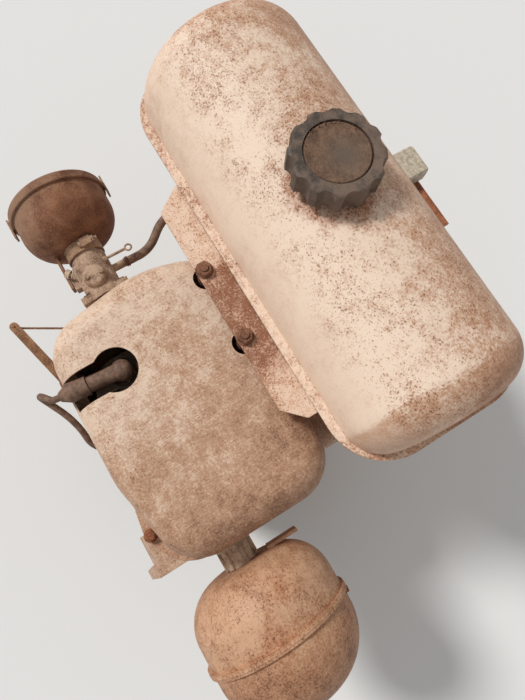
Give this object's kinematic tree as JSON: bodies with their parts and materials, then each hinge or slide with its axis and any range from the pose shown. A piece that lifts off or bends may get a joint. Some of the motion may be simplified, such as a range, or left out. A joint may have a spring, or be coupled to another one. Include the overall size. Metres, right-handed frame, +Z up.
{
  "type": "stationary engine",
  "caption": "Fan-cooled single-cylinder stationary petrol engine with top tank, air cleaner and round silencer, worn cream paint over rusty steel",
  "frame": {"origin": "centre of the four foot holes, on the floor plane, directly below the crankshaft axis", "axes": "+X towards the silencer, +Y towards the fan and tank, +Z up; the driven shaft points to -Y"},
  "size_m": [0.64, 0.473, 0.5005],
  "materials": {
    "cream_paint": "worn cream enamel with rust specks",
    "rusty_paint": "cream enamel mostly rusted through",
    "rusty_steel": "rusty",
    "bright_steel": "turned",
    "cast_case": "as cast, dirty",
    "cast_iron": "as cast",
    "black_plastic": "scuffed",
    "pale_plastic": "weathered",
    "brown_rubber": "aged",
    "brass": "dull"
  },
  "bodies": {
    "engine": {"crankcase": "cast_case", "pto_cover": "cast_case", "crankshaft": "bright_steel", "cylinder": "cast_iron", "cylinder_head": "cast_case", "cylinder_casing": "cream_paint", "cylinder_shroud": "cream_paint", "tank_bracket": "rusty_paint", "bracket_studs": "rusty_steel", "bracket_spacers": "rusty_steel", "bracket_nuts": "rusty_steel", "tank_upper_shell": "cream_paint", "tank_lower_shell": "cream_paint", "filler_neck": "rusty_steel", "rear_support": "rusty_paint", "rear_clamp": "pale_plastic", "fan_housing": "cream_paint", "flywheel_fan": "cast_case", "starter_cover": "cream_paint", "starter_grip": "black_plastic", "oil_plugs": "black_plastic", "intake_pipe": "cast_case", "carburettor": "cast_case", "float_bowl": "cast_case", "throat_band": "rusty_steel", "cleaner_bell": "rusty_paint", "cleaner_cover": "rusty_paint", "cleaner_clips": "rusty_steel", "cleaner_stay": "rusty_steel", "lever_bracket": "rusty_steel", "spark_plug": "bright_steel", "plug_cap": "brown_rubber", "ht_lead": "brown_rubber", "exhaust_pipe": "rusty_steel", "union_nut": "cast_case", "silencer_inner": "rusty_paint", "silencer_outer": "rusty_paint", "silencer_outlet": "rusty_paint", "fuel_tap": "brass", "fuel_hose": "brown_rubber"},
    "cap": {"fuel_cap": "black_plastic", "cap_insert": "rusty_steel"},
    "lever": {"control_lever": "rusty_steel"},
    "rod": {"link_rod": "rusty_steel"},
    "throttle": {"throttle_arm": "rusty_steel"}
  },
  "joints": [
    {"name": "cap_turn", "type": "hinge", "parent": "engine", "child": "cap", "pos_m": [-0.088, 0.208, 0.48], "axis": [0, 0, 1], "range_deg": [0, 90]},
    {"name": "lever_swing", "type": "hinge", "parent": "engine", "child": "lever", "pos_m": [-0.088, -0.104, 0.285], "axis": [0, 0, 1], "range_deg": [-12.5, 12.5]},
    {"name": "rod_swing", "type": "hinge", "parent": "lever", "child": "rod", "pos_m": [-0.18, -0.127, 0.285], "axis": [0, 0, 1], "range_deg": [-25, 25]},
    {"name": "throttle_turn", "type": "hinge", "parent": "engine", "child": "throttle", "pos_m": [-0.157, -0.017, 0.2695], "axis": [0, 0, 1], "range_deg": [-25, 25]}
  ],
  "couplings": [
    {"joint": "rod_swing", "follows": "lever_swing", "ratio": -0.345},
    {"joint": "throttle_turn", "follows": "lever_swing", "ratio": -1.76}
  ]
}
